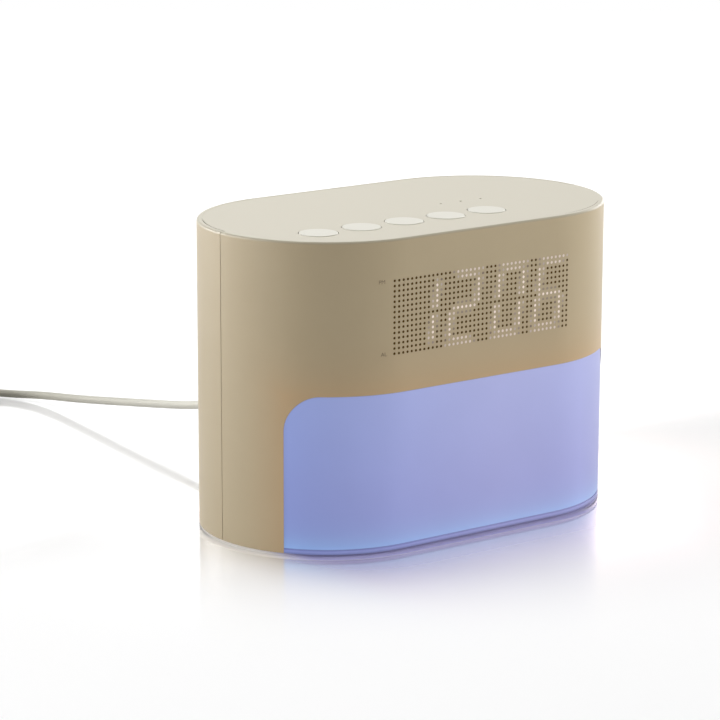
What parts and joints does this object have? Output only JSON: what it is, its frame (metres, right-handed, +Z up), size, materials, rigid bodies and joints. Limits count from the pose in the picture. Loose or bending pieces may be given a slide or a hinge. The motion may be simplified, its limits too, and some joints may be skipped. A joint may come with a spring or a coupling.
{
  "type": "alarm clock",
  "caption": "Obround sunrise alarm clock: two-shell case, glowing front lens, digits behind a field of fine holes, press buttons on top and a coiled power lead with a USB plug.",
  "frame": {"origin": "On the table, under the centre of the case", "axes": "+Z up, -Y out of the display and lens, +X to the right of someone facing the front"},
  "size_m": [0.2125, 0.3297, 0.1222],
  "materials": {
    "case_plastic": "fine matt moulded plastic",
    "base_plastic": "matt moulded plastic",
    "button_plastic": "satin moulded plastic",
    "milky_lens": "milky translucent plastic, lit lavender blue",
    "foot_rubber": "matt rubber",
    "tray_white": "white reflecting plastic",
    "board_white": "white solder mask",
    "board_green": "green solder mask",
    "lamp_white": "clear gel over a white cup",
    "display_tint": "dark tinted film",
    "housing_dark": "dark moulded plastic",
    "segment_white": "milky light window",
    "switch_black": "black moulded plastic",
    "plunger_cream": "moulded plastic",
    "pipe_clear": "clear acrylic",
    "chip_black": "black moulded resin",
    "capacitor_metal": "drawn can",
    "socket_white": "ivory moulded plastic",
    "steel": "plated steel",
    "ribbon_grey": "flat ribbon insulation",
    "wire_red": "soft wire insulation",
    "speaker_steel": "pressed steel",
    "magnet_metal": "ferrite",
    "cone_black": "pressed paper",
    "gasket_foam": "closed-cell foam",
    "cord_white": "soft matt sheath",
    "plug_white": "soft moulded plastic",
    "tie_cloth": "hook-and-loop tape"
  },
  "bodies": {
    "case": {"front_shell": "case_plastic", "rear_shell": "case_plastic", "base_plate": "base_plastic", "light_diffuser": "milky_lens", "rubber_feet": "foot_rubber", "light_tray": "tray_white", "light_board": "board_white", "light_leds": "lamp_white", "display_film": "display_tint", "display_housing": "housing_dark", "display_segments": "segment_white", "display_board": "board_green", "key_board": "board_green", "key_switches": "switch_black", "indicator_leds": "lamp_white", "indicator_light_pipes": "pipe_clear", "main_board": "board_green", "board_chips": "chip_black", "board_capacitors": "capacitor_metal", "board_sockets": "socket_white", "battery_holder": "chip_black", "backup_battery": "steel", "display_cable": "ribbon_grey", "key_cable": "ribbon_grey", "light_cable": "wire_red", "speaker_wires": "wire_red", "speaker_frame": "speaker_steel", "speaker_magnet": "magnet_metal", "speaker_cone": "cone_black", "speaker_gasket": "gasket_foam", "board_screws": "steel", "case_screws": "steel", "power_socket": "switch_black", "power_socket_pin": "steel", "plug_barrel": "steel", "power_cord": "cord_white", "cord_coil": "cord_white", "cord_tie": "tie_cloth", "cord_tail": "cord_white", "plug_body": "plug_white", "plug_relief": "plug_white", "usb_relief": "plug_white", "usb_plug_body": "plug_white", "usb_plug_shell": "steel", "usb_plug_tongue": "switch_black"},
    "button_1": {"button_1": "button_plastic", "switch_plunger_1": "plunger_cream"},
    "button_2": {"button_2": "button_plastic", "switch_plunger_2": "plunger_cream"},
    "button_3": {"button_3": "button_plastic", "switch_plunger_3": "plunger_cream"},
    "button_4": {"button_4": "button_plastic", "switch_plunger_4": "plunger_cream"},
    "button_5": {"button_5": "button_plastic", "switch_plunger_5": "plunger_cream"}
  },
  "joints": [
    {"name": "press_1", "type": "slide", "parent": "case", "child": "button_1", "axis": [0, 0, -1], "range_m": [0, 0.0006], "stiffness_N_per_m": 400, "springref_m": -0.0005},
    {"name": "press_2", "type": "slide", "parent": "case", "child": "button_2", "axis": [0, 0, -1], "range_m": [0, 0.0006], "stiffness_N_per_m": 400, "springref_m": -0.0005},
    {"name": "press_3", "type": "slide", "parent": "case", "child": "button_3", "axis": [0, 0, -1], "range_m": [0, 0.0006], "stiffness_N_per_m": 400, "springref_m": -0.0005},
    {"name": "press_4", "type": "slide", "parent": "case", "child": "button_4", "axis": [0, 0, -1], "range_m": [0, 0.0006], "stiffness_N_per_m": 400, "springref_m": -0.0005},
    {"name": "press_5", "type": "slide", "parent": "case", "child": "button_5", "axis": [0, 0, -1], "range_m": [0, 0.0006], "stiffness_N_per_m": 400, "springref_m": -0.0005}
  ]
}
